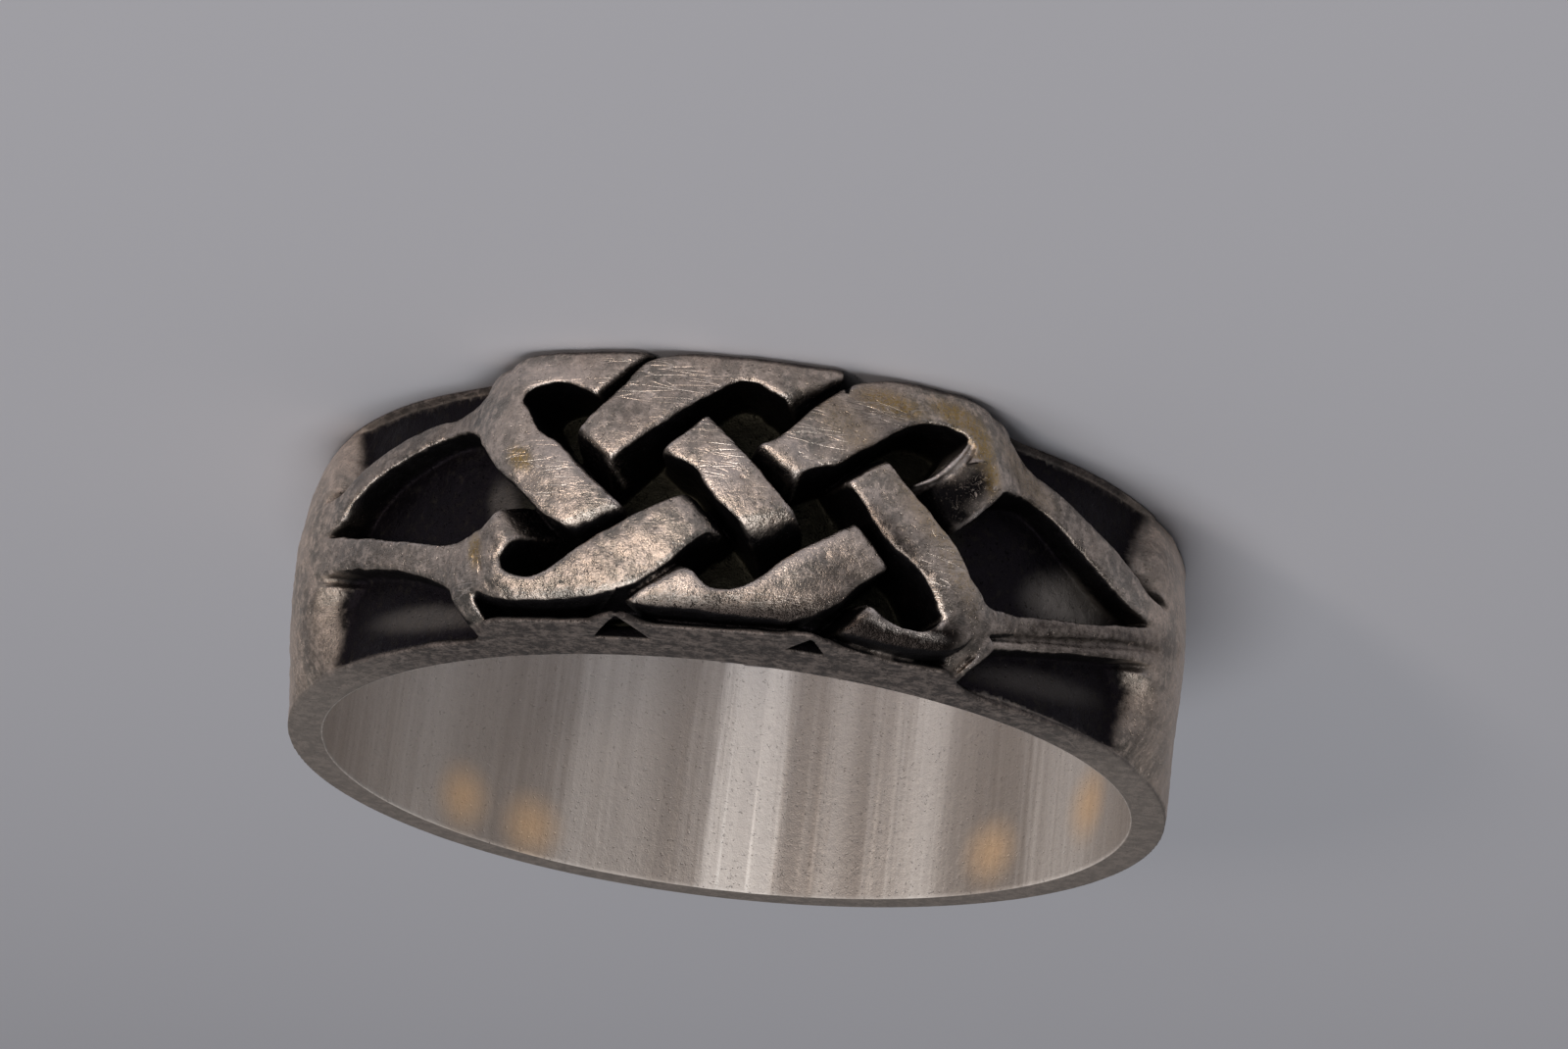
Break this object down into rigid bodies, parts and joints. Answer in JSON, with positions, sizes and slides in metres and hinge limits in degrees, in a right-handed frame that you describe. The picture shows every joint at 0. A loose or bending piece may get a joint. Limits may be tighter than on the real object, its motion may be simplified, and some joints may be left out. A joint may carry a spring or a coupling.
{
  "type": "celtic knot ring",
  "caption": "Finger ring with a raised interlaced knot on its front, sunk leaf-shaped shoulder windows between struts, and a plain thin shank.",
  "frame": {"origin": "on the bore axis, in the plane of the rim the ring rests on", "axes": "+Z along the bore, the ring lying on its side; -Y through the middle of the knot"},
  "size_m": [0.0206, 0.0228, 0.0061],
  "materials": {
    "silver": "worn sterling silver with fine scratches, its recesses oxidised black"
  },
  "bodies": {
    "root": {"knot_ring": "silver"}
  },
  "joints": []
}
